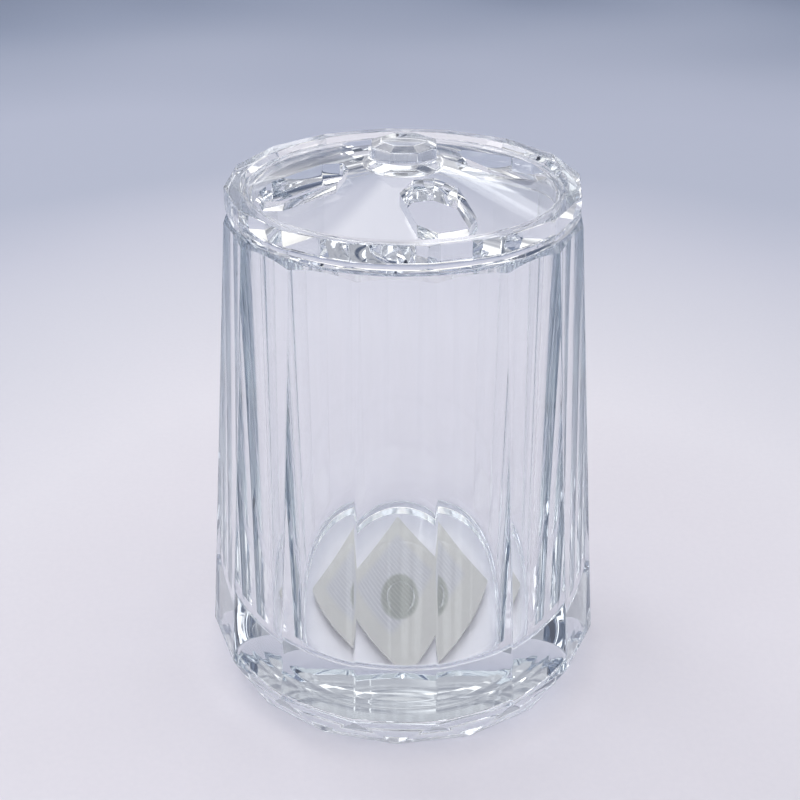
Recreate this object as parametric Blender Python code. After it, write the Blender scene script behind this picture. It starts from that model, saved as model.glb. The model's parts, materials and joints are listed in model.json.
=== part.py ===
"""Toothbrush holder: a cut-crystal style acrylic tumbler with a slotted lid.

The tumbler has sixteen flat facets that widen downwards to a waist and turn in
again to a foot whose corners lie half a facet round from the waist's. Its bore
is round. The lid is a thick shallow cone with a raised rim, four octagonal
toothbrush slots and an octagonal knob bonded to a small flat at its top. It
rests on the tumbler's rim and a short lip under it centres it in the bore. A
square paper sticker lies in the recess under the tumbler's floor.

Units are metres, +Z is up, the front is -Y and the origin is the middle of the
foot, on the surface that the holder stands on.
"""
from math import cos, pi, radians, sin, tan

import bmesh
import bpy
from mathutils import Matrix, Vector

MM = 0.001

# Tumbler, outside
FACETS = 16
TUMBLER_TURN = radians(9.2)
TUMBLER_HEIGHT = 102.1 * MM
MOUTH_CORNER_RADIUS = 35.4 * MM
WAIST_CORNER_RADIUS = 43.0 * MM
WAIST_HEIGHT = 7.7 * MM
FOOT_CORNER_RADIUS = 39.7 * MM
MOUTH_EDGE_RADIUS = 34.4 * MM
MOUTH_CHAMFER_SLOPE = radians(45)

# Tumbler, inside
MOUTH_BORE_RADIUS = 31.0 * MM
FLOOR_BORE_RADIUS = 28.5 * MM
FLOOR_HEIGHT = 13.0 * MM
FLOOR_FILLET = 2.6 * MM
RECESS_RADIUS = 32.0 * MM
RECESS_HEIGHT = 2.4 * MM

# Lid
SEAT_GAP = 0.3 * MM
LID_SIDE_HEIGHT = 5.6 * MM
LID_CORNER_RADIUS = 35.0 * MM
LID_TURN = radians(6.8)
LID_EDGE_RADIUS = 34.2 * MM
LID_CHAMFER_SLOPE = radians(60)
RIM_INNER_RADIUS = 31.9 * MM
GROOVE_WIDTH = 1.2 * MM
GROOVE_DEPTH = 0.95 * MM
CONE_SLOPE = 0.26
LID_THICKNESS = 4.4 * MM
LIP_DEPTH = 1.8 * MM
LIP_WIDTH = 1.3 * MM
LIP_CLEARANCE = 0.3 * MM

# Toothbrush slots
SLOTS = 4
SLOT_TURN_FACETS = 0.5
SLOT_INNER_END = 11.7 * MM
SLOT_OUTER_END = 28.2 * MM
SLOT_WIDTH = 11.4 * MM
SLOT_INNER_END_WIDTH = 4.1 * MM
SLOT_OUTER_END_WIDTH = 5.9 * MM
SLOT_CORNER_LENGTH = 3.2 * MM

# Knob
KNOB_SIDES = 8
KNOB_CORNER_RADIUS = 6.8 * MM
KNOB_SIDE_HEIGHT = 1.9 * MM
KNOB_TOP_RADIUS = 4.7 * MM
KNOB_CROWN_HEIGHT = 0.8 * MM
KNOB_SEAT_MARGIN = 0.2 * MM
BOND_GAP = 0.3 * MM

# Sticker
STICKER_SIDE = 36.0 * MM
STICKER_THICKNESS = 0.3 * MM
STICKER_TURN = radians(3)
STICKER_GAP = 0.3 * MM
STICKER_SHIFT = 3.0 * MM

ROUND_STEPS = 96
SHARP_ANGLE = radians(18)
FILLET_STEPS = 6
CUTTER_OVERSHOOT = 5.0 * MM
TRIM_MARGIN = 1.0 * MM


def clear_scene():
    for item in list(bpy.data.objects):
        bpy.data.objects.remove(item, do_unlink=True)


def plastic(name, colour, roughness, alpha=1.0):
    """A Principled material in a linear colour."""
    material = bpy.data.materials.new(name)
    material.use_nodes = True
    shader = material.node_tree.nodes["Principled BSDF"]
    shader.inputs["Base Color"].default_value = (*colour, 1.0)
    shader.inputs["Roughness"].default_value = roughness
    shader.inputs["Metallic"].default_value = 0.0
    shader.inputs["Alpha"].default_value = alpha
    return material


def on_circle(radius, turn, height):
    """A point at a turn measured from the front (-Y) towards +X."""
    return Vector((radius * sin(turn), -radius * cos(turn), height))


def corner_ring(count, radius, turn, height):
    """The corners of a regular polygon."""
    return [on_circle(radius, turn + 2 * pi * k / count, height) for k in range(count)]


def object_from(mesh_builder, name, material=None):
    """Make a named object from a bmesh and free the bmesh."""
    bmesh.ops.remove_doubles(mesh_builder, verts=mesh_builder.verts, dist=0.001 * MM)
    bmesh.ops.recalc_face_normals(mesh_builder, faces=mesh_builder.faces)
    mesh = bpy.data.meshes.new(name)
    mesh_builder.to_mesh(mesh)
    mesh_builder.free()
    item = bpy.data.objects.new(name, mesh)
    bpy.context.scene.collection.objects.link(item)
    if material:
        mesh.materials.append(material)
    return item


def hull(name, points, material=None):
    """The convex solid round a set of corners, its flat sides kept whole."""
    builder = bmesh.new()
    corners = [builder.verts.new(point) for point in points]
    bmesh.ops.convex_hull(builder, input=corners)
    bmesh.ops.dissolve_limit(
        builder, angle_limit=radians(0.1), verts=builder.verts, edges=builder.edges)
    return object_from(builder, name, material)


def turned(name, profile, material=None):
    """Spin a closed profile of (radius, height) points round the Z axis."""
    builder = bmesh.new()
    corners = [builder.verts.new((radius, 0.0, height)) for radius, height in profile]
    for first, second in zip(corners, corners[1:] + corners[:1]):
        if first.co.x > 0 or second.co.x > 0:
            builder.edges.new((first, second))
    bmesh.ops.spin(
        builder, geom=builder.verts[:] + builder.edges[:], cent=(0, 0, 0), axis=(0, 0, 1),
        angle=2 * pi, steps=ROUND_STEPS, use_merge=True)
    return object_from(builder, name, material)


def cutter(item):
    item.hide_render = True
    item.display_type = "WIRE"
    return item


def combine(item, tool, operation):
    modifier = item.modifiers.new(tool.name, "BOOLEAN")
    modifier.operation = operation
    modifier.solver = "EXACT"
    modifier.object = cutter(tool)


def finish(item):
    """Apply the cuts, then shade round faces smooth and keep the edges sharp."""
    graph = bpy.context.evaluated_depsgraph_get()
    mesh = bpy.data.meshes.new_from_object(item.evaluated_get(graph))
    item.modifiers.clear()
    item.data = mesh
    mesh.name = item.name
    mesh.shade_smooth()
    mesh.set_sharp_from_angle(angle=SHARP_ANGLE)
    return item


def bore_radius(height):
    """Radius of the bore, which narrows evenly from the mouth to the floor."""
    share = (height - FLOOR_HEIGHT) / (TUMBLER_HEIGHT - FLOOR_HEIGHT)
    return FLOOR_BORE_RADIUS + share * (MOUTH_BORE_RADIUS - FLOOR_BORE_RADIUS)


def bore_profile():
    """The bore as a cutter: floor, fillet, wall and a run past the mouth."""
    centre = (FLOOR_BORE_RADIUS - FLOOR_FILLET, FLOOR_HEIGHT + FLOOR_FILLET)
    fillet = []
    for step in range(FILLET_STEPS + 1):
        angle = pi / 2 * step / FILLET_STEPS
        fillet.append((centre[0] + FLOOR_FILLET * sin(angle), centre[1] - FLOOR_FILLET * cos(angle)))
    top = TUMBLER_HEIGHT + CUTTER_OVERSHOOT
    return [(0.0, FLOOR_HEIGHT)] + fillet + [(bore_radius(top), top), (0.0, top)]


def mouth_chamfer_profile():
    """A ring that turns the facets' corners into the round edge of the mouth."""
    run = CUTTER_OVERSHOOT
    fall = run * tan(MOUTH_CHAMFER_SLOPE)
    return [(MOUTH_EDGE_RADIUS - run, TUMBLER_HEIGHT + fall),
            (MOUTH_EDGE_RADIUS + run, TUMBLER_HEIGHT - fall),
            (MOUTH_EDGE_RADIUS + run, TUMBLER_HEIGHT + fall)]


def make_tumbler(material):
    half_facet = pi / FACETS
    corners = corner_ring(FACETS, FOOT_CORNER_RADIUS, TUMBLER_TURN + half_facet, 0.0)
    corners += corner_ring(FACETS, WAIST_CORNER_RADIUS, TUMBLER_TURN, WAIST_HEIGHT)
    corners += corner_ring(FACETS, MOUTH_CORNER_RADIUS, TUMBLER_TURN, TUMBLER_HEIGHT)
    tumbler = hull("tumbler", corners, material)
    combine(tumbler, turned("tumbler_mouth_chamfer", mouth_chamfer_profile()), "DIFFERENCE")
    combine(tumbler, turned("tumbler_bore", bore_profile()), "DIFFERENCE")
    recess = [(0.0, RECESS_HEIGHT), (0.0, -CUTTER_OVERSHOOT),
              (RECESS_RADIUS, -CUTTER_OVERSHOOT), (RECESS_RADIUS, RECESS_HEIGHT)]
    combine(tumbler, turned("tumbler_recess", recess), "DIFFERENCE")
    return finish(tumbler)


def seat_height():
    """Height of the lid's underside where it rests on the tumbler's rim."""
    return TUMBLER_HEIGHT + SEAT_GAP


def rim_height():
    return seat_height() + LID_SIDE_HEIGHT


def cone_height(radius):
    """Height of the lid's conical top, which starts in the groove by the rim."""
    start = RIM_INNER_RADIUS - GROOVE_WIDTH
    return rim_height() - GROOVE_DEPTH + CONE_SLOPE * (start - radius)


def knob_seat_radius():
    return KNOB_CORNER_RADIUS + KNOB_SEAT_MARGIN


def lid_profile():
    """Half section of the lid, wider than its facets, which trim it."""
    seat = seat_height()
    outside = LID_CORNER_RADIUS + TRIM_MARGIN
    chamfer_top = seat + (outside - LID_EDGE_RADIUS) * tan(LID_CHAMFER_SLOPE)
    lip_outside = bore_radius(TUMBLER_HEIGHT - LIP_DEPTH) - LIP_CLEARANCE
    lip_inside = lip_outside - LIP_WIDTH
    lip_bottom = TUMBLER_HEIGHT - LIP_DEPTH
    seat_radius = knob_seat_radius()
    return [(0.0, cone_height(seat_radius)),
            (seat_radius, cone_height(seat_radius)),
            (RIM_INNER_RADIUS - GROOVE_WIDTH, rim_height() - GROOVE_DEPTH),
            (RIM_INNER_RADIUS, rim_height()),
            (outside, rim_height()),
            (outside, chamfer_top),
            (LID_EDGE_RADIUS, seat),
            (lip_outside, seat),
            (lip_outside, lip_bottom),
            (lip_inside, lip_bottom),
            (lip_inside, cone_height(lip_inside) - LID_THICKNESS),
            (seat_radius, cone_height(seat_radius) - LID_THICKNESS),
            (0.0, cone_height(seat_radius) - LID_THICKNESS)]


def slot_corners(turn, height):
    """The octagon of one toothbrush slot, its long way along a radius."""
    outward = on_circle(1.0, turn, 0.0)
    across = on_circle(1.0, turn + pi / 2, 0.0)
    half = [(SLOT_INNER_END, SLOT_INNER_END_WIDTH / 2),
            (SLOT_INNER_END + SLOT_CORNER_LENGTH, SLOT_WIDTH / 2),
            (SLOT_OUTER_END - SLOT_CORNER_LENGTH, SLOT_WIDTH / 2),
            (SLOT_OUTER_END, SLOT_OUTER_END_WIDTH / 2)]
    both = half + [(along, -side) for along, side in reversed(half)]
    return [outward * along + across * side + Vector((0, 0, height)) for along, side in both]


def make_lid(material):
    lid = turned("lid", lid_profile(), material)
    low = TUMBLER_HEIGHT - LIP_DEPTH - CUTTER_OVERSHOOT
    high = cone_height(0.0) + CUTTER_OVERSHOOT
    facets = hull("lid_facets", corner_ring(FACETS, LID_CORNER_RADIUS, LID_TURN, low)
                  + corner_ring(FACETS, LID_CORNER_RADIUS, LID_TURN, high))
    combine(lid, facets, "INTERSECT")
    first = LID_TURN + SLOT_TURN_FACETS * 2 * pi / FACETS
    for number in range(SLOTS):
        turn = first + number * 2 * pi / SLOTS
        slot = hull(f"lid_slot_{number + 1}", slot_corners(turn, low) + slot_corners(turn, high))
        combine(lid, slot, "DIFFERENCE")
    return finish(lid)


def make_knob(material):
    seat = cone_height(knob_seat_radius()) + BOND_GAP
    shoulder = seat + KNOB_SIDE_HEIGHT
    turn = pi / KNOB_SIDES
    corners = corner_ring(KNOB_SIDES, KNOB_CORNER_RADIUS, turn, seat)
    corners += corner_ring(KNOB_SIDES, KNOB_CORNER_RADIUS, turn, shoulder)
    corners += corner_ring(KNOB_SIDES, KNOB_TOP_RADIUS, turn, shoulder + KNOB_CROWN_HEIGHT)
    return hull("knob", corners, material)


def make_sticker(material):
    top = RECESS_HEIGHT - STICKER_GAP
    half_diagonal = STICKER_SIDE / 2 ** 0.5
    corners = corner_ring(4, half_diagonal, STICKER_TURN, top)
    corners += corner_ring(4, half_diagonal, STICKER_TURN, top - STICKER_THICKNESS)
    corners = [corner + Vector((0, STICKER_SHIFT, 0)) for corner in corners]
    return hull("base_sticker", corners, material)


def carry_on_empty(name, place, items):
    """Parent pieces that move together to an empty on their axis of travel."""
    carrier = bpy.data.objects.new(name, None)
    carrier.location = place
    bpy.context.scene.collection.objects.link(carrier)
    for item in items:
        item.parent = carrier
        item.matrix_parent_inverse = Matrix.Translation(place).inverted()


def main():
    clear_scene()
    clear_acrylic = (0.86, 0.88, 0.93)
    make_tumbler(plastic("tumbler_acrylic", clear_acrylic, 0.04, 0.25))
    lid = make_lid(plastic("lid_acrylic", clear_acrylic, 0.04, 0.25))
    knob = make_knob(plastic("knob_acrylic", clear_acrylic, 0.04, 0.3))
    make_sticker(plastic("sticker_paper", (0.68, 0.67, 0.66), 0.7))
    carry_on_empty("lid_lift_axis", Vector((0, 0, TUMBLER_HEIGHT)), [lid, knob])


main()
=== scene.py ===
"""The looks of a toothbrush holder in clear acrylic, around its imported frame.

A sixteen-sided tumbler stands on a pale table. Its lid has four octagonal slots
and a small faceted knob, and a square sticker lies under the tumbler's floor.
Units are metres, +Z is up and the front of the holder faces -Y.
"""
import json
import logging
from contextlib import contextmanager
from dataclasses import dataclass, field
from enum import Enum
from math import cos, pi, radians, tan
from typing import Callable, Iterator, Sequence

import bmesh
import bpy
from bpy.types import Material, Node, NodeSocket, Object
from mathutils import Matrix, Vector

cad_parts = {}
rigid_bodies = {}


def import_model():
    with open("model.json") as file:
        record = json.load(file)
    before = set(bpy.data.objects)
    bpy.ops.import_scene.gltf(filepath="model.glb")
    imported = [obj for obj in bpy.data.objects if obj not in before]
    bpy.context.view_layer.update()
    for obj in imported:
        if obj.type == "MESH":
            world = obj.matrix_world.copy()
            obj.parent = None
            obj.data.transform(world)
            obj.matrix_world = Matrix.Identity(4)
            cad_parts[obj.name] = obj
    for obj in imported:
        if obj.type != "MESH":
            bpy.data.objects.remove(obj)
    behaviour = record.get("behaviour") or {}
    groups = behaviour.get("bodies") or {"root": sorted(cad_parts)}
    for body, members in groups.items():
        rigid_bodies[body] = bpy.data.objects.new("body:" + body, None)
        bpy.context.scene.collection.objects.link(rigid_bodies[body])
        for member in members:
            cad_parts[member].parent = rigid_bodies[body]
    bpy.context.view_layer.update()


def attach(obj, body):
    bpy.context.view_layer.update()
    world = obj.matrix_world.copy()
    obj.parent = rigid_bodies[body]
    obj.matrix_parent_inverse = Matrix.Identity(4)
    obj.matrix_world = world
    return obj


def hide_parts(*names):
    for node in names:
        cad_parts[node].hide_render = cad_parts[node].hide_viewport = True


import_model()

LOG = logging.getLogger("toothbrush_holder")
MM = 0.001
JOIN_WITHIN = 0.001 * MM
ROUND_STEPS = 288
EDGE_STEPS = 3
FLAT_ANGLE = radians(9)
CREASE_ANGLE = radians(5)

Colour = tuple[float, float, float]
Span = tuple[float, float]
Steps = tuple[float, float, float, float]
Element = bmesh.types.BMVert | bmesh.types.BMEdge | bmesh.types.BMFace


class Body(Enum):
    """The bodies of the frame that a piece can ride on."""

    TUMBLER = "tumbler"
    LID = "lid"


class Kind(Enum):
    """What an edit selects."""

    POINT = "VERT"
    EDGE = "EDGE"
    FACE = "FACE"


class Cut(Enum):
    """What a cutting tool leaves of a piece."""

    AWAY = "DIFFERENCE"
    COMMON = "INTERSECT"


@dataclass(frozen=True)
class Corner:
    """One corner of a turned profile.

    Args:
        radius: Distance from the axis.
        height: Height above the table.
        rounding: How far back along both sides the corner is rounded.
        steps: Flats in the rounding.
    """

    radius: float
    height: float
    rounding: float = 0.0
    steps: int = 4

    def place(self) -> Vector:
        """The corner as a point in the XZ plane."""
        return Vector((self.radius, 0.0, self.height))


# ---------------------------------------------------------------- workbench


def focus(item: Object) -> None:
    """Select one object alone and make it active.

    Args:
        item: The object to work on.
    """
    for other in bpy.context.view_layer.objects:
        other.select_set(False)
    item.select_set(True)
    bpy.context.view_layer.objects.active = item


@contextmanager
def editing(item: Object, kind: Kind = Kind.POINT) -> Iterator[None]:
    """Edit one object, with nothing selected at the start.

    Args:
        item: The object to edit.
        kind: What the edit selects.
    """
    focus(item)
    bpy.ops.object.mode_set(mode="EDIT")
    bpy.ops.mesh.select_mode(type=kind.value)
    bpy.ops.mesh.select_all(action="DESELECT")
    yield
    bpy.ops.object.mode_set(mode="OBJECT")


def pick(item: Object, kind: Kind, wanted: Callable[[Element], bool]) -> None:
    """Select points, edges or faces of the object that is being edited.

    Args:
        item: The object in edit mode.
        kind: What to select.
        wanted: Says of one point, edge or face whether it is selected.
    """
    mesh = bmesh.from_edit_mesh(item.data)
    elements = {Kind.POINT: mesh.verts, Kind.EDGE: mesh.edges, Kind.FACE: mesh.faces}
    for element in elements[kind]:
        if wanted(element):
            element.select_set(True)
    bmesh.update_edit_mesh(item.data)


def fresh(name: str) -> Object:
    """Name the object that was just added and put its place into its mesh.

    Args:
        name: The object's new name.

    Returns:
        The object, its origin at the origin.
    """
    item = bpy.context.object
    item.name = item.data.name = name
    focus(item)
    bpy.ops.object.transform_apply(location=True, rotation=True, scale=True)
    return item


def turned(name: str, profile: Sequence[Corner], closed: bool = False) -> Object:
    """Trace a profile point by point, round its corners and spin it about Z.

    Args:
        name: Name of the new object.
        profile: Corners in order, from axis to axis unless the profile is closed.
        closed: Whether the last corner joins the first.

    Returns:
        The closed solid.
    """
    first = profile[0]
    bpy.ops.mesh.primitive_plane_add(size=MM, location=first.place())
    item = fresh(name)
    path = [corner.place() for corner in profile] + ([first.place()] if closed else [])
    with editing(item):
        bpy.ops.mesh.select_all(action="SELECT")
        bpy.ops.mesh.merge(type="CENTER")
        for start, end in zip(path, path[1:]):
            bpy.ops.mesh.extrude_region_move(TRANSFORM_OT_translate={"value": end - start})
        bpy.ops.mesh.select_all(action="SELECT")
        bpy.ops.mesh.remove_doubles(threshold=JOIN_WITHIN)
        for corner in profile:
            if corner.rounding:
                place = corner.place()
                bpy.ops.mesh.select_all(action="DESELECT")
                pick(item, Kind.POINT, lambda point: (point.co - place).length < 2 * JOIN_WITHIN)
                bpy.ops.mesh.bevel(
                    affect="VERTICES", offset=corner.rounding, segments=corner.steps)
        bpy.ops.mesh.select_all(action="SELECT")
        bpy.ops.mesh.spin(steps=ROUND_STEPS, angle=2 * pi, center=(0, 0, 0), axis=(0, 0, 1))
        bpy.ops.mesh.select_all(action="SELECT")
        bpy.ops.mesh.remove_doubles(threshold=JOIN_WITHIN)
        bpy.ops.mesh.normals_make_consistent(inside=False)
    return item


def machine(item: Object, tool: Object, cut: Cut) -> None:
    """Cut a piece with a tool and put the tool away.

    Args:
        item: The piece.
        tool: The solid that cuts it.
        cut: What is left of the piece.
    """
    focus(item)
    modifier = item.modifiers.new(tool.name, "BOOLEAN")
    modifier.operation = cut.value
    modifier.solver = "EXACT"
    modifier.object = tool
    bpy.ops.object.modifier_apply(modifier=modifier.name)
    bpy.data.objects.remove(tool, do_unlink=True)


def polish(item: Object, angle: float = FLAT_ANGLE) -> None:
    """Shade round faces smooth and keep flat facets flat.

    Args:
        item: The piece.
        angle: Edges sharper than this stay crisp.
    """
    focus(item)
    bpy.ops.object.shade_smooth_by_angle(angle=angle)
    modifier = item.modifiers.new("facet_shading", "WEIGHTED_NORMAL")
    modifier.keep_sharp = True
    modifier.weight = 100
    bpy.ops.object.modifier_apply(modifier=modifier.name)


def round_edges(item: Object, size: float, steps: int,
                wanted: Callable[[bmesh.types.BMEdge], bool]) -> None:
    """Round the edges of a faceted solid.

    Args:
        item: The solid.
        size: Width that the rounding takes of each face.
        steps: Flats in the rounding.
        wanted: Says of one edge whether it is rounded.
    """
    with editing(item, Kind.EDGE):
        pick(item, Kind.EDGE, wanted)
        bpy.ops.mesh.bevel(affect="EDGES", offset=size, segments=steps, clamp_overlap=True)


def is_crease(edge: bmesh.types.BMEdge) -> bool:
    """Whether two faces of a solid meet in an edge at an angle."""
    return edge.calc_face_angle(0.0) > CREASE_ANGLE


def is_upright(edge: bmesh.types.BMEdge) -> bool:
    """Whether an edge runs along Z."""
    return (edge.verts[0].co - edge.verts[1].co).to_2d().length < JOIN_WITHIN


def is_level_top(face: bmesh.types.BMFace) -> bool:
    """Whether a face looks straight up."""
    return face.normal.z > 0.999


def show(item: Object, body: Body, slot: str, *nodes: str) -> Object:
    """Put a finished piece in the place of its CAD nodes and report it.

    Args:
        item: The piece.
        body: The body that it rides on.
        slot: Name of a material slot; not used.
        *nodes: The CAD nodes that it stands for.

    Returns:
        The piece.
    """
    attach(item, body.value)
    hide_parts(*nodes)
    LOG.info("%s: %d faces, rides on the %s", item.name, len(item.data.polygons), body.value)
    return item


# ---------------------------------------------------------------- finishes


def srgb(red: int, green: int, blue: int) -> Colour:
    """Turn a colour from 0-255 screen values into linear light.

    Args:
        red: Red as the screen shows it.
        green: Green as the screen shows it.
        blue: Blue as the screen shows it.

    Returns:
        The linear colour.
    """
    shares = (value / 255 for value in (red, green, blue))
    return tuple(s / 12.92 if s <= 0.04045 else ((s + 0.055) / 1.055) ** 2.4 for s in shares)


class Recipe:
    """A material's or the world's nodes, added and joined in a few words."""

    def __init__(self, owner: Material | bpy.types.World) -> None:
        """Start a recipe.

        Args:
            owner: The material or world that the nodes belong to.
        """
        owner.use_nodes = True
        self.owner = owner
        self.tree = owner.node_tree

    def add(self, kind: str, **settings: object) -> Node:
        """Add a node.

        Args:
            kind: The node's type, without its ShaderNode start.
            **settings: Properties of the node.

        Returns:
            The node.
        """
        node = self.tree.nodes.new("ShaderNode" + kind)
        for name, value in settings.items():
            setattr(node, name, value)
        return node

    def join(self, source: NodeSocket, target: NodeSocket) -> None:
        """Join an output to an input."""
        self.tree.links.new(source, target)

    def sum(self, operation: str, *values: NodeSocket | float) -> NodeSocket:
        """Add a Math node.

        Args:
            operation: The operation's name.
            *values: Sockets or plain numbers, in order.

        Returns:
            The result's socket.
        """
        node = self.add("Math", operation=operation)
        for position, value in enumerate(values):
            if isinstance(value, NodeSocket):
                self.join(value, node.inputs[position])
            else:
                node.inputs[position].default_value = value
        return node.outputs[0]

    def noise(self, place: NodeSocket, scale: float, detail: float) -> NodeSocket:
        """Add a noise pattern.

        Args:
            place: Coordinates that it reads.
            scale: How fine it is, in features per metre.
            detail: Finer layers on it.

        Returns:
            The socket of its values from 0 to 1.
        """
        node = self.add("TexNoise")
        node.inputs["Scale"].default_value = scale
        node.inputs["Detail"].default_value = detail
        self.join(place, node.inputs["Vector"])
        return node.outputs["Fac"]

    def spread(self, value: NodeSocket, low: float, high: float,
               start: float = 0.0, end: float = 1.0) -> NodeSocket:
        """Map a value's range onto another.

        Args:
            value: The socket that is mapped.
            low: Its lower end.
            high: Its upper end.
            start: What the lower end becomes.
            end: What the upper end becomes.

        Returns:
            The mapped socket, clamped.
        """
        node = self.add("MapRange")
        self.join(value, node.inputs["Value"])
        ends = {"From Min": low, "From Max": high, "To Min": start, "To Max": end}
        for name, number in ends.items():
            node.inputs[name].default_value = number
        return node.outputs["Result"]

    def blend(self, share: NodeSocket, first: Colour | NodeSocket,
              second: Colour | NodeSocket) -> NodeSocket:
        """Mix two colours.

        Args:
            share: Share of the second colour.
            first: First colour.
            second: Second colour.

        Returns:
            The mixed colour's socket.
        """
        node = self.add("Mix", data_type="RGBA")
        self.join(share, node.inputs["Factor"])
        for socket, colour in ((node.inputs[6], first), (node.inputs[7], second)):
            if isinstance(colour, NodeSocket):
                self.join(colour, socket)
            else:
                socket.default_value = (*colour, 1.0)
        return node.outputs[2]

    def ramp(self, value: NodeSocket, stops: Sequence[tuple[float, Colour]]) -> NodeSocket:
        """Colour a value by a ramp.

        Args:
            value: The socket that is coloured.
            stops: Positions from 0 to 1 with their linear colours.

        Returns:
            The colour's socket.
        """
        node = self.add("ValToRGB")
        elements = node.color_ramp.elements
        for position, _ in stops[2:]:
            elements.new(position)
        for element, (position, colour) in zip(elements, stops):
            element.position = position
            element.color = (*colour, 1.0)
        self.join(value, node.inputs["Fac"])
        return node.outputs["Color"]

    def bump(self, height: NodeSocket, depth: float) -> NodeSocket:
        """Turn a height pattern into a bumped normal.

        Args:
            height: Heights from 0 to 1.
            depth: Depth of the relief.

        Returns:
            The normal's socket.
        """
        node = self.add("Bump")
        node.inputs["Distance"].default_value = depth
        self.join(height, node.inputs["Height"])
        return node.outputs["Normal"]

    def shader(self) -> Node:
        """The material's Principled node."""
        return self.tree.nodes["Principled BSDF"]


@dataclass(frozen=True)
class ClearAcrylic:
    """Clear cast acrylic with the faint flow ripples of a moulding."""

    name: str
    tint: Colour = (0.985, 0.99, 1.0)
    index: float = 1.49
    haze: float = 0.012
    haze_spots: Span = (0.52, 0.8)
    smear_scale: float = 160.0
    ripple_scale: float = 55.0
    ripple_stretch: float = 0.22
    ripple_depth: float = 0.004 * MM
    depth_tint: Colour = (0.70, 0.752, 0.805)
    depth_density: float = 11.5

    def material(self) -> Material:
        """Mix the acrylic.

        Returns:
            The material.
        """
        recipe = Recipe(bpy.data.materials.new(self.name))
        shader = recipe.shader()
        shader.inputs["Base Color"].default_value = (*self.tint, 1.0)
        shader.inputs["IOR"].default_value = self.index
        shader.inputs["Transmission Weight"].default_value = 1.0
        place = recipe.add("TexCoord").outputs["Object"]
        long_way = recipe.add("Mapping")
        long_way.inputs["Scale"].default_value = (1.0, 1.0, self.ripple_stretch)
        recipe.join(place, long_way.inputs["Vector"])
        ripple = recipe.noise(long_way.outputs["Vector"], self.ripple_scale, 1.0)
        recipe.join(recipe.bump(ripple, self.ripple_depth), shader.inputs["Normal"])
        smear = recipe.noise(place, self.smear_scale, 4.0)
        roughness = recipe.spread(smear, *self.haze_spots, 0.0, self.haze)
        recipe.join(roughness, shader.inputs["Roughness"])
        depth = recipe.add("VolumeAbsorption")
        depth.inputs["Color"].default_value = (*self.depth_tint, 1.0)
        depth.inputs["Density"].default_value = self.depth_density
        recipe.join(depth.outputs["Volume"], recipe.tree.nodes["Material Output"].inputs["Volume"])
        return recipe.owner


@dataclass(frozen=True)
class StickerPaper:
    """Coated paper with a plain generic print: a panel of fine rules and a disc.

    Places on it run from 0 to 1 across and along the sticker.
    """

    name: str = "sticker_paper"
    paper: Colour = srgb(204, 202, 198)
    panel: Colour = srgb(190, 190, 196)
    panel_across: Span = (0.15, 0.86)
    panel_along: Span = (0.3, 0.88)
    panel_softness: float = 0.03
    rule: Colour = srgb(214, 213, 215)
    rule_scale: float = 9.0
    rule_waver: float = 0.4
    rule_edges: Span = (0.72, 0.95)
    rule_share: float = 0.7
    disc: Colour = srgb(146, 149, 142)
    disc_centre: Span = (0.44, 0.46)
    disc_edge: Span = (0.215, 0.185)
    disc_wear: float = 0.75
    fibre_scale: float = 900.0
    fibre_share: float = 0.14
    fibre_depth: float = 0.02 * MM
    roughness: Span = (0.5, 0.68)

    def between(self, recipe: Recipe, value: NodeSocket, low: float, high: float) -> NodeSocket:
        """A soft mask that is 1 where a value lies between two limits.

        Args:
            recipe: The recipe that the nodes go into.
            value: The value that is tested.
            low: Lower limit.
            high: Upper limit.

        Returns:
            The mask's socket.
        """
        soft = self.panel_softness
        above = recipe.spread(value, low - soft, low + soft)
        below = recipe.spread(value, high + soft, high - soft)
        return recipe.sum("MULTIPLY", above, below)

    def printed(self, recipe: Recipe) -> NodeSocket:
        """Print the panel, its rules and the disc on the paper.

        Args:
            recipe: The recipe that the nodes go into.

        Returns:
            The printed colour's socket.
        """
        chart = recipe.add("UVMap").outputs["UV"]
        axes = recipe.add("SeparateXYZ")
        recipe.join(chart, axes.inputs["Vector"])
        panel = recipe.sum("MULTIPLY", self.between(recipe, axes.outputs["X"], *self.panel_across),
                           self.between(recipe, axes.outputs["Y"], *self.panel_along))
        colour = recipe.blend(panel, self.paper, self.panel)
        wave = recipe.add("TexWave", bands_direction="X", wave_profile="SIN")
        wave.inputs["Scale"].default_value = self.rule_scale
        wave.inputs["Distortion"].default_value = self.rule_waver
        recipe.join(chart, wave.inputs["Vector"])
        stripes = wave.outputs["Fac"]
        rules = recipe.sum("MULTIPLY", recipe.spread(stripes, *self.rule_edges), panel)
        colour = recipe.blend(recipe.sum("MULTIPLY", rules, self.rule_share), colour, self.rule)
        middle = recipe.add("VectorMath", operation="DISTANCE")
        recipe.join(chart, middle.inputs[0])
        middle.inputs[1].default_value = (*self.disc_centre, 0.0)
        disc = recipe.spread(middle.outputs["Value"], *self.disc_edge)
        worn = recipe.spread(stripes, 0.7, 1.0, 1.0, self.disc_wear)
        return recipe.blend(recipe.sum("MULTIPLY", disc, worn), colour, self.disc)

    def material(self) -> Material:
        """Mix the printed paper.

        Returns:
            The material.
        """
        recipe = Recipe(bpy.data.materials.new(self.name))
        shader = recipe.shader()
        colour = self.printed(recipe)
        fibres = recipe.noise(recipe.add("TexCoord").outputs["Object"], self.fibre_scale, 5.0)
        specks = recipe.spread(fibres, 0.3, 0.75, 0.0, self.fibre_share)
        recipe.join(recipe.blend(specks, colour, self.disc), shader.inputs["Base Color"])
        recipe.join(recipe.spread(fibres, 0.3, 0.7, *self.roughness), shader.inputs["Roughness"])
        recipe.join(recipe.bump(fibres, self.fibre_depth), shader.inputs["Normal"])
        return recipe.owner


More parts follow.
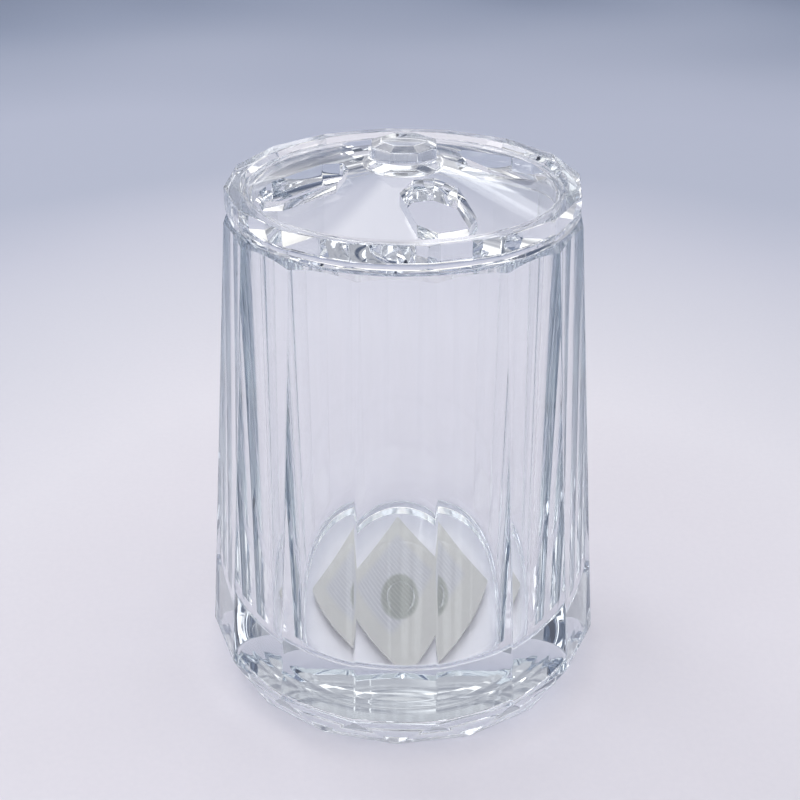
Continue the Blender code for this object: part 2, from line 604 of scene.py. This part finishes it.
@dataclass(frozen=True)
class PaleTable:
    """A pale table, painted with a pool of light that fades into grey-blue shade.

    Its stops paint that light and shade as screen colours at distances from the
    middle. A painted bright patch lies under the tumbler's recess, where the clear
    walls gather light.
    """

    name: str = "pale_table"
    # Painted light: a bright patch under the recess, then a pool of light that fades into painted
    # shade further out.
    stops: tuple[tuple[float, tuple[int, int, int]], ...] = (
        (0.0, (243, 241, 246)), (0.024, (243, 241, 246)), (0.033, (216, 214, 225)),
        (0.085, (218, 216, 227)), (0.12, (219, 218, 229)), (0.185, (207, 208, 221)),
        (0.27, (190, 193, 210)), (0.34, (172, 178, 198)), (0.42, (170, 176, 197)),
        (0.7, (134, 144, 168)), (0.9, (92, 104, 130)), (1.2, (78, 90, 118)))
    gloss: float = 0.15
    roughness: float = 0.75
    cloud_scale: float = 4.0
    cloud_swing: Span = (0.9, 1.1)
    grain: Colour = srgb(176, 180, 200)
    grain_scale: float = 700.0
    grain_share: float = 0.06
    grain_depth: float = 0.03 * MM

    def material(self) -> Material:
        """Mix the table's finish.

        Returns:
            The material.
        """
        recipe = Recipe(bpy.data.materials.new(self.name))
        shader = recipe.shader()
        shader.inputs["Specular IOR Level"].default_value = self.gloss
        shader.inputs["Roughness"].default_value = self.roughness
        place = recipe.add("TexCoord").outputs["Object"]
        distance = recipe.add("VectorMath", operation="LENGTH")
        recipe.join(place, distance.inputs[0])
        clouds = recipe.noise(place, self.cloud_scale, 1.0)
        cloud = recipe.spread(clouds, 0.3, 0.7, *self.cloud_swing)
        far = recipe.sum("MULTIPLY", distance.outputs["Value"], cloud)
        reach = self.stops[-1][0]
        # The ramp paints the pool of light and its fading shade, and the clouds make its edge
        # wavy.
        colour = recipe.ramp(recipe.spread(far, 0.0, reach),
                             [(start / reach, srgb(*shown)) for start, shown in self.stops])
        grain = recipe.noise(place, self.grain_scale, 3.0)
        specks = recipe.spread(grain, 0.3, 0.75, 0.0, self.grain_share)
        recipe.join(recipe.blend(specks, colour, self.grain), shader.inputs["Base Color"])
        recipe.join(recipe.bump(grain, self.grain_depth), shader.inputs["Normal"])
        return recipe.owner


@dataclass(frozen=True)
class Glow:
    """A round bright patch of the surroundings with a soft edge.

    Args:
        aim: The direction in which it lies.
        colour: Its linear colour, which may be brighter than 1.
        inner: Angle from its middle within which it is full.
        outer: Angle from its middle at which it ends.
    """

    aim: tuple[float, float, float]
    colour: Colour
    inner: float
    outer: float


@dataclass(frozen=True)
class LightTent:
    """The world: a bright banded ceiling over a patterned room with a plain horizon.

    The steps of a pattern are the noise values where its dark tone ends, its wall tone
    starts and ends, and its gleam starts. Heights are the Z of a direction of length 1,
    and depths its Y. Colours may be brighter than 1, up to the peak.
    """

    name: str = "light_tent"
    strength: float = 0.81
    peak: float = 4.0
    wall: Colour = srgb(206, 207, 214)
    shade: Colour = srgb(38, 48, 68)
    steel: Colour = srgb(92, 104, 128)
    gleam: Colour = (2.4, 2.42, 2.45)
    pattern_scale: float = 5.0
    room_steps: Steps = (0.5, 0.52, 0.535, 0.555)
    behind_steps: Steps = (0.36, 0.43, 0.56, 0.6)
    behind_depths: Span = (0.1, 0.6)
    horizon_heights: Span = (0.03, 0.14)
    pattern_heights: Span = (0.2, 0.25)
    band_heights: Span = (0.5, 0.58)
    bands: tuple[tuple[float, Colour], ...] = (
        (0.50, (0.64, 0.64, 0.68)), (0.57, (0.80, 0.80, 0.83)), (0.61, (0.50, 0.51, 0.57)),
        (0.635, (0.74, 0.74, 0.78)), (0.655, (0.94, 0.94, 0.96)), (0.675, (0.72, 0.72, 0.76)),
        (0.69, (0.76, 0.76, 0.79)), (0.725, (2.2, 2.16, 2.08)), (0.85, (1.5, 1.47, 1.4)),
        (1.0, (1.1, 1.08, 1.03)))
    glows: tuple[Glow, ...] = (
        Glow((-0.75, -0.47, 0.47), (2.6, 2.58, 2.55), radians(9), radians(14)),
        Glow((0.07, 0.8, 0.595), (1.6, 1.6, 1.58), radians(2.5), radians(5)))

    def scaled(self, colour: Colour) -> Colour:
        """A colour divided by the peak, so that ramps hold values above 1."""
        return tuple(value / self.peak for value in colour)

    def toned(self, recipe: Recipe, value: NodeSocket,
              stops: Sequence[tuple[float, Colour]]) -> NodeSocket:
        """Colour a value with brightnesses above 1.

        Args:
            recipe: The recipe that the nodes go into.
            value: The socket that is coloured.
            stops: Positions from 0 to 1 with their colours.

        Returns:
            The colour's socket, divided by the peak.
        """
        return recipe.ramp(value, [(place, self.scaled(colour)) for place, colour in stops])

    def patterned(self, recipe: Recipe, noise: NodeSocket, dark: Colour,
                  steps: Steps) -> NodeSocket:
        """Turn noise into a dark tone, a wall tone and gleams.

        Args:
            recipe: The recipe that the nodes go into.
            noise: The noise's socket.
            dark: The dark tone.
            steps: Where the tones end and start.

        Returns:
            The colour's socket, divided by the peak.
        """
        dark_end, wall_start, wall_end, gleam_start = steps
        return self.toned(recipe, noise, [
            (0.0, dark), (dark_end, dark), (wall_start, self.wall), (wall_end, self.wall),
            (gleam_start, self.gleam), (1.0, self.gleam)])

    def world(self) -> bpy.types.World:
        """Mix the world.

        Returns:
            The world.
        """
        recipe = Recipe(bpy.data.worlds.new(self.name))
        light = recipe.tree.nodes["Background"]
        way = recipe.add("TexCoord").outputs["Generated"]
        axes = recipe.add("SeparateXYZ")
        recipe.join(way, axes.inputs["Vector"])
        depth, height = axes.outputs["Y"], axes.outputs["Z"]
        room = self.patterned(recipe, recipe.noise(way, self.pattern_scale, 1.0),
                              self.shade, self.room_steps)
        behind = self.patterned(recipe, recipe.noise(way, self.pattern_scale, 2.0),
                                self.steel, self.behind_steps)
        walls = recipe.blend(recipe.spread(depth, *self.behind_depths), room, behind)
        horizon = self.toned(recipe, height, [
            (0.0, self.steel), (self.horizon_heights[0], self.steel),
            (self.horizon_heights[1], self.wall), (1.0, self.wall)])
        around = recipe.blend(recipe.spread(height, *self.pattern_heights), horizon, walls)
        ceiling = self.toned(recipe, height, self.bands)
        whole = recipe.blend(recipe.spread(height, *self.band_heights), around, ceiling)
        for glow in self.glows:
            share = self.patch(recipe, way, glow)
            whole = recipe.blend(share, whole, self.scaled(glow.colour))
        recipe.join(whole, light.inputs["Color"])
        light.inputs["Strength"].default_value = self.strength * self.peak
        return recipe.owner

    def patch(self, recipe: Recipe, way: NodeSocket, glow: Glow) -> NodeSocket:
        """A mask round one direction.

        Args:
            recipe: The recipe that the nodes go into.
            way: The direction that is looked in.
            glow: The patch.

        Returns:
            The mask's socket.
        """
        near = recipe.add("VectorMath", operation="DOT_PRODUCT")
        recipe.join(way, near.inputs[0])
        near.inputs[1].default_value = Vector(glow.aim).normalized()
        return recipe.spread(near.outputs["Value"], cos(glow.outer), cos(glow.inner))


# ---------------------------------------------------------------- tumbler


@dataclass
class Tumbler:
    """The tumbler: flat facets, a waist, a turned-in foot and a round bore.

    The ceiling of the recess under it has a shallow relief: sink lists radii and how far
    the ceiling hangs down there, both in millimetres.
    """

    facets: int = 16
    turn: float = radians(9.2)
    height: float = 102.1 * MM
    mouth_corner: float = 35.4 * MM
    waist_corner: float = 43.0 * MM
    waist_height: float = 7.7 * MM
    foot_corner: float = 39.7 * MM
    mouth_edge: float = 34.4 * MM
    mouth_bore: float = 31.0 * MM
    floor_bore: float = 28.5 * MM
    floor_height: float = 13.0 * MM
    floor_fillet: float = 2.6 * MM
    fillet_steps: int = 10
    mouth_rounding: float = 0.4 * MM
    recess_radius: float = 32.0 * MM
    recess_height: float = 2.4 * MM
    recess_fillet: float = 0.6 * MM
    recess_rounding: float = 0.3 * MM
    gate_radius: float = 4.8 * MM
    gate_width: float = 0.5 * MM
    gate_depth: float = 0.15 * MM
    gate_slope: float = 0.1 * MM
    sink: tuple[Span, ...] = (
        (18.5, 0.0), (21.5, 0.06), (24.0, 0.0), (25.5, 0.03), (27.5, 0.0))
    sink_rounding: float = 0.6 * MM
    sink_steps: int = 6
    edge_rounding: float = 0.3 * MM
    lead: float = 1.0 * MM
    lead_drop: float = 0.03 * MM
    overshoot: float = 5.0 * MM
    finish: ClearAcrylic = field(default_factory=lambda: ClearAcrylic("tumbler_clear_acrylic"))

    def bore_radius(self, height: float) -> float:
        """Radius of the bore at a height.

        Args:
            height: Height above the table.

        Returns:
            The radius.
        """
        share = (height - self.floor_height) / (self.height - self.floor_height)
        return self.floor_bore + share * (self.mouth_bore - self.floor_bore)

    def add_ring(self, radius: float, height: float, turn: float) -> None:
        """Add one ring of corners.

        Args:
            radius: Distance of the corners from the axis.
            height: Height above the table.
            turn: Angle of the first corner.
        """
        bpy.ops.mesh.primitive_circle_add(
            vertices=self.facets, radius=radius, location=(0, 0, height), rotation=(0, 0, turn))

    def block(self) -> Object:
        """Close the rings of corners with flat facets and round the edges.

        Returns:
            The solid outside of the tumbler.
        """
        self.add_ring(self.foot_corner, 0.0, self.turn + pi / self.facets)
        block = fresh("clear_tumbler")
        with editing(block):
            self.add_ring(self.waist_corner, self.waist_height, self.turn)
            self.add_ring(self.mouth_corner, self.height, self.turn)
            bpy.ops.mesh.select_all(action="SELECT")
            bpy.ops.mesh.convex_hull(join_triangles=False)
            bpy.ops.mesh.select_all(action="SELECT")
            bpy.ops.mesh.dissolve_limited(angle_limit=radians(0.1))
            bpy.ops.mesh.normals_make_consistent(inside=False)
        round_edges(block, self.edge_rounding, EDGE_STEPS, is_crease)
        return block

    def bore(self) -> Object:
        """The bore as a cutting tool, with a rounded floor and mouth.

        Returns:
            The tool.
        """
        top = self.height + self.overshoot
        outside = self.mouth_bore + self.lead
        return turned("tumbler_bore", [
            Corner(0.0, self.floor_height),
            Corner(self.floor_bore, self.floor_height, self.floor_fillet, self.fillet_steps),
            Corner(self.mouth_bore, self.height, self.mouth_rounding),
            Corner(outside, self.height + self.lead_drop),
            Corner(outside, top),
            Corner(0.0, top)])

    def chamfer(self) -> Object:
        """A ring that turns the facets' corners into the round edge of the mouth."""
        run = self.overshoot
        return turned("tumbler_mouth_chamfer", [
            Corner(self.mouth_edge - run, self.height + run),
            Corner(self.mouth_edge + run, self.height - run),
            Corner(self.mouth_edge + run, self.height + run)], closed=True)

    def recess(self) -> Object:
        """The recess under the floor as a cutting tool, with the gate's witness ring.

        Returns:
            The tool.
        """
        low, high = -self.overshoot, self.recess_height
        inner, outer = self.gate_radius, self.gate_radius + self.gate_width
        outside = self.recess_radius + self.lead
        relief = [Corner(radius * MM, high - drop * MM, self.sink_rounding, self.sink_steps)
                  for radius, drop in self.sink]
        return turned("tumbler_recess", [
            Corner(0.0, high),
            Corner(inner, high),
            Corner(inner + self.gate_slope, high - self.gate_depth),
            Corner(outer - self.gate_slope, high - self.gate_depth),
            Corner(outer, high),
            *relief,
            Corner(self.recess_radius, high, self.recess_fillet),
            Corner(self.recess_radius, 0.0, self.recess_rounding),
            Corner(outside, -self.lead_drop),
            Corner(outside, low),
            Corner(0.0, low)])

    def build(self) -> Object:
        """Make the tumbler and dress it.

        Returns:
            The tumbler.
        """
        body = self.block()
        for tool in (self.chamfer(), self.bore(), self.recess()):
            machine(body, tool, Cut.AWAY)
        polish(body)
        body.data.materials.clear()
        body.data.materials.append(self.finish.material())
        return show(body, Body.TUMBLER, "tumbler_acrylic", "tumbler")


# ---------------------------------------------------------------- lid


@dataclass
class Lid:
    """The loose lid: a thick shallow cone with a raised rim and four slots."""

    tumbler: Tumbler
    facets: int = 16
    turn: float = radians(6.8)
    seat_gap: float = 0.3 * MM
    side_height: float = 5.6 * MM
    corner: float = 35.0 * MM
    edge: float = 34.2 * MM
    chamfer_slope: float = radians(60)
    rim_inner: float = 31.9 * MM
    groove_width: float = 1.2 * MM
    groove_depth: float = 0.95 * MM
    cone_slope: float = 0.26
    thickness: float = 4.4 * MM
    lip_depth: float = 1.8 * MM
    lip_width: float = 1.3 * MM
    lip_clearance: float = 0.3 * MM
    knob_seat: float = 7.0 * MM
    slots: int = 4
    slot_inner: float = 11.7 * MM
    slot_outer: float = 28.2 * MM
    slot_width: float = 11.4 * MM
    slot_inner_width: float = 4.1 * MM
    slot_outer_width: float = 5.9 * MM
    slot_corner: float = 3.2 * MM
    slot_rounding: float = 0.12 * MM
    slot_steps: int = 2
    slot_cut: float = 30.0 * MM
    margin: float = 1.0 * MM
    crown_rounding: float = 0.2 * MM
    groove_fillet: float = 0.3 * MM
    rim_rounding: float = 0.2 * MM
    seat_rounding: float = 0.15 * MM
    lip_rounding: float = 0.25 * MM
    lip_fillet: float = 0.5 * MM
    underside_rounding: float = 0.6 * MM
    edge_rounding: float = 0.18 * MM
    trimmer_below: float = 5.0 * MM
    trimmer_above: float = 0.02 * MM
    trimmer_inset: float = 0.8 * MM
    trimmer_rise: float = 12.0 * MM
    finish: ClearAcrylic = field(default_factory=lambda: ClearAcrylic(
        "lid_clear_acrylic", ripple_scale=90.0, ripple_depth=0.005 * MM))

    def seat(self) -> float:
        """Height of the underside where it rests on the tumbler."""
        return self.tumbler.height + self.seat_gap

    def rim(self) -> float:
        """Height of the raised rim."""
        return self.seat() + self.side_height

    def cone(self, radius: float) -> float:
        """Height of the conical top at a radius.

        Args:
            radius: Distance from the axis.

        Returns:
            The height.
        """
        start = self.rim_inner - self.groove_width
        return self.rim() - self.groove_depth + self.cone_slope * (start - radius)

    def blank(self) -> Object:
        """Turn the lid's profile, wider than its facets, which trim it.

        Returns:
            The turned blank.
        """
        outside = self.corner + self.margin
        chamfer_top = self.seat() + (outside - self.edge) * tan(self.chamfer_slope)
        lip_bottom = self.tumbler.height - self.lip_depth
        lip_outside = self.tumbler.bore_radius(lip_bottom) - self.lip_clearance
        lip_inside = lip_outside - self.lip_width
        groove = self.rim_inner - self.groove_width
        crown = self.cone(self.knob_seat)
        return turned("clear_lid", [
            Corner(0.0, crown),
            Corner(self.knob_seat, crown, self.crown_rounding),
            Corner(groove, self.rim() - self.groove_depth, self.groove_fillet),
            Corner(self.rim_inner, self.rim(), self.rim_rounding),
            Corner(outside, self.rim()),
            Corner(outside, chamfer_top),
            Corner(self.edge, self.seat(), self.seat_rounding),
            Corner(lip_outside, self.seat()),
            Corner(lip_outside, lip_bottom, self.lip_rounding),
            Corner(lip_inside, lip_bottom, self.lip_rounding),
            Corner(lip_inside, self.cone(lip_inside) - self.thickness, self.lip_fillet),
            Corner(self.knob_seat, crown - self.thickness, self.underside_rounding),
            Corner(0.0, crown - self.thickness)])

    def trimmer(self) -> Object:
        """The faceted prism that trims the blank and rounds its outer edges.

        Returns:
            The tool.
        """
        low = self.tumbler.height - self.lip_depth - self.trimmer_below
        high = self.rim() + self.trimmer_above
        bpy.ops.mesh.primitive_cylinder_add(
            vertices=self.facets, radius=self.corner, depth=high - low,
            location=(0, 0, (low + high) / 2), rotation=(0, 0, self.turn))
        prism = fresh("lid_trimmer")

        def is_outer(edge: bmesh.types.BMEdge) -> bool:
            """Whether an edge is upright or lies round the top."""
            lowest = min(point.co.z for point in edge.verts)
            return is_upright(edge) or lowest > high - 10 * JOIN_WITHIN

        round_edges(prism, self.edge_rounding, EDGE_STEPS, is_outer)
        with editing(prism, Kind.FACE):
            pick(prism, Kind.FACE, is_level_top)
            bpy.ops.mesh.inset(thickness=self.trimmer_inset)
            bpy.ops.mesh.extrude_region_move(
                TRANSFORM_OT_translate={"value": (0, 0, self.trimmer_rise)})
        return prism

    def slot_tool(self) -> Object:
        """One slot as a cutting tool that points along +X.

        Returns:
            The tool.
        """
        middle = (self.slot_inner + self.slot_outer) / 2
        length = self.slot_outer - self.slot_inner
        height = self.cone(middle)
        bpy.ops.mesh.primitive_cube_add(size=1, location=(middle, 0, height),
                                        scale=(length, self.slot_width, self.slot_cut))
        tool = fresh("lid_slot")
        cuts = []
        for side in (1, -1):
            for end, inward, width in ((self.slot_inner, 1, self.slot_inner_width),
                                       (self.slot_outer, -1, self.slot_outer_width)):
                fall = (self.slot_width - width) / 2
                cuts.append((Vector((end, side * width / 2, height)),
                             Vector((-inward * fall, side * self.slot_corner, 0)).normalized()))
        for place, normal in cuts:
            with editing(tool):
                bpy.ops.mesh.select_all(action="SELECT")
                bpy.ops.mesh.bisect(plane_co=place, plane_no=normal, threshold=JOIN_WITHIN,
                                    use_fill=True, clear_outer=True)
        round_edges(tool, self.slot_rounding, self.slot_steps, is_upright)
        return tool

    def slot_tools(self) -> Object:
        """Copy the slot tool round the axis and join the copies.

        Returns:
            All slots as one tool.
        """
        first = self.slot_tool()
        start = self.turn + pi / self.facets - pi / 2
        tools = [first]
        for _ in range(1, self.slots):
            focus(first)
            bpy.ops.object.duplicate(linked=False)
            tools.append(bpy.context.object)
        for number, tool in enumerate(tools):
            tool.rotation_euler.z = start + number * 2 * pi / self.slots
            focus(tool)
            bpy.ops.object.transform_apply(location=True, rotation=True, scale=True)
        focus(first)
        for tool in tools:
            tool.select_set(True)
        bpy.ops.object.join()
        return first

    def build(self) -> Object:
        """Make the lid and dress it.

        Returns:
            The lid.
        """
        lid = self.blank()
        machine(lid, self.trimmer(), Cut.COMMON)
        machine(lid, self.slot_tools(), Cut.AWAY)
        polish(lid)
        lid.data.materials.clear()
        lid.data.materials.append(self.finish.material())
        return show(lid, Body.LID, "lid_acrylic", "lid")


@dataclass
class Knob:
    """The octagonal knob, bonded to the flat at the lid's top.

    The knob of the frame starts node_bond above the flat, and side_height counts from
    there. This one reaches into the lid by bond, so that no film of air shows.
    """

    lid: Lid
    sides: int = 8
    corner: float = 6.8 * MM
    side_height: float = 1.9 * MM
    top: float = 4.7 * MM
    crown: float = 0.8 * MM
    bond: float = 0.02 * MM
    node_bond: float = 0.3 * MM
    edge_rounding: float = 0.18 * MM
    flat_angle: float = radians(12)
    finish: ClearAcrylic = field(default_factory=lambda: ClearAcrylic("knob_clear_acrylic"))

    def build(self) -> Object:
        """Make the knob and dress it.

        Returns:
            The knob.
        """
        flat = self.lid.cone(self.lid.knob_seat)
        low = flat - self.bond
        high = flat + self.node_bond + self.side_height
        bpy.ops.mesh.primitive_cylinder_add(
            vertices=self.sides, radius=self.corner, depth=high - low,
            location=(0, 0, (low + high) / 2), rotation=(0, 0, pi / self.sides))
        knob = fresh("clear_knob")
        with editing(knob, Kind.FACE):
            pick(knob, Kind.FACE, is_level_top)
            bpy.ops.mesh.extrude_region_move(
                TRANSFORM_OT_translate={"value": (0, 0, self.crown)})
            share = self.top / self.corner
            bpy.ops.transform.resize(value=(share, share, 1), center_override=(0, 0, high))
        round_edges(knob, self.edge_rounding, EDGE_STEPS, is_crease)
        polish(knob, self.flat_angle)
        knob.data.materials.append(self.finish.material())
        return show(knob, Body.LID, "knob_acrylic", "knob")


@dataclass
class BaseSticker:
    """The square paper sticker in the recess under the tumbler's floor."""

    tumbler: Tumbler
    side: float = 36.0 * MM
    thickness: float = 0.3 * MM
    turn: float = radians(3)
    gap: float = 0.3 * MM
    shift: float = 3.0 * MM
    corner_rounding: float = 0.6 * MM
    corner_steps: int = 4
    finish: StickerPaper = field(default_factory=StickerPaper)

    def build(self) -> Object:
        """Make the sticker and dress it.

        Returns:
            The sticker.
        """
        top = self.tumbler.recess_height - self.gap
        bpy.ops.mesh.primitive_plane_add(
            size=self.side, location=(0, self.shift, top - self.thickness / 2),
            rotation=(0, 0, self.turn + pi / 4))
        sticker = fresh("paper_sticker")
        with editing(sticker):
            bpy.ops.mesh.select_all(action="SELECT")
            bpy.ops.mesh.bevel(
                affect="VERTICES", offset=self.corner_rounding, segments=self.corner_steps)
        focus(sticker)
        solid = sticker.modifiers.new("paper", "SOLIDIFY")
        solid.thickness = self.thickness
        solid.offset = 0.0
        bpy.ops.object.modifier_apply(modifier=solid.name)
        sticker.data.materials.append(self.finish.material())
        return show(sticker, Body.TUMBLER, "sticker_paper", "base_sticker")


# ---------------------------------------------------------------- studio


@dataclass(frozen=True)
class Lamp:
    """One soft rectangular lamp."""

    name: str
    place: tuple[float, float, float]
    aim: tuple[float, float, float]
    width: float
    height: float
    power: float
    colour: Colour = (1.0, 1.0, 1.0)

    def hang(self) -> None:
        """Hang the lamp and point it at its aim."""
        bpy.ops.object.light_add(type="AREA", location=self.place)
        lamp = bpy.context.object
        lamp.name = self.name
        lamp.data.shape = "RECTANGLE"
        lamp.data.size, lamp.data.size_y = self.width, self.height
        lamp.data.energy = self.power
        lamp.data.color = self.colour
        way = Vector(self.aim) - Vector(self.place)
        lamp.rotation_euler = way.to_track_quat("-Z", "Y").to_euler()


@dataclass
class Studio:
    """The pale table, the light tent, the lamp and the camera."""

    camera_place: tuple[float, float, float] = (0.0, -0.25248, 0.19377)
    camera_tilt: float = pi / 2 - 0.489
    camera_roll: float = 0.003
    lens: float = 60.756
    sensor: float = 36.0
    bounces: int = 64
    table_size: float = 6.0
    table_drop: float = 0.1 * MM
    table: PaleTable = field(default_factory=PaleTable)
    tent: LightTent = field(default_factory=LightTent)
    lamps: tuple[Lamp, ...] = (
        Lamp("key_lamp", (-0.5, 0.5, 1.0), (0.0, 0.0, 0.03), 0.4, 0.4, 1.6, (1.0, 0.99, 0.96)),)

    def lay_table(self) -> None:
        """Lay the table under the holder."""
        bpy.ops.mesh.primitive_plane_add(size=self.table_size, location=(0, 0, -self.table_drop))
        table = fresh("table_top")
        table.data.materials.append(self.table.material())

    def pitch_tent(self) -> None:
        """Light the holder from all round."""
        bpy.context.scene.world = self.tent.world()

    def set_camera(self) -> None:
        """Set the camera at the photograph's viewing angle."""
        bpy.ops.object.camera_add(
            location=self.camera_place, rotation=(self.camera_tilt, 0, self.camera_roll))
        camera = bpy.context.object
        camera.name = "photo_camera"
        camera.data.lens = self.lens
        camera.data.sensor_width = self.sensor
        bpy.context.scene.camera = camera

    def build(self) -> None:
        """Set up everything around the holder."""
        self.lay_table()
        self.pitch_tent()
        for lamp in self.lamps:
            lamp.hang()
        self.set_camera()
        scene = bpy.context.scene
        scene.view_settings.view_transform = "Standard"
        for limit in ("max_bounces", "glossy_bounces", "transmission_bounces"):
            setattr(scene.cycles, limit, self.bounces)
        scene.cycles.blur_glossy = 0.0


def main() -> None:
    """Build the studio and the holder's pieces in order."""
    logging.basicConfig(level=logging.INFO, format="%(name)s: %(message)s")
    Studio().build()
    tumbler = Tumbler()
    tumbler.build()
    lid = Lid(tumbler)
    lid.build()
    Knob(lid).build()
    BaseSticker(tumbler).build()


if __name__ == "__main__":
    main()
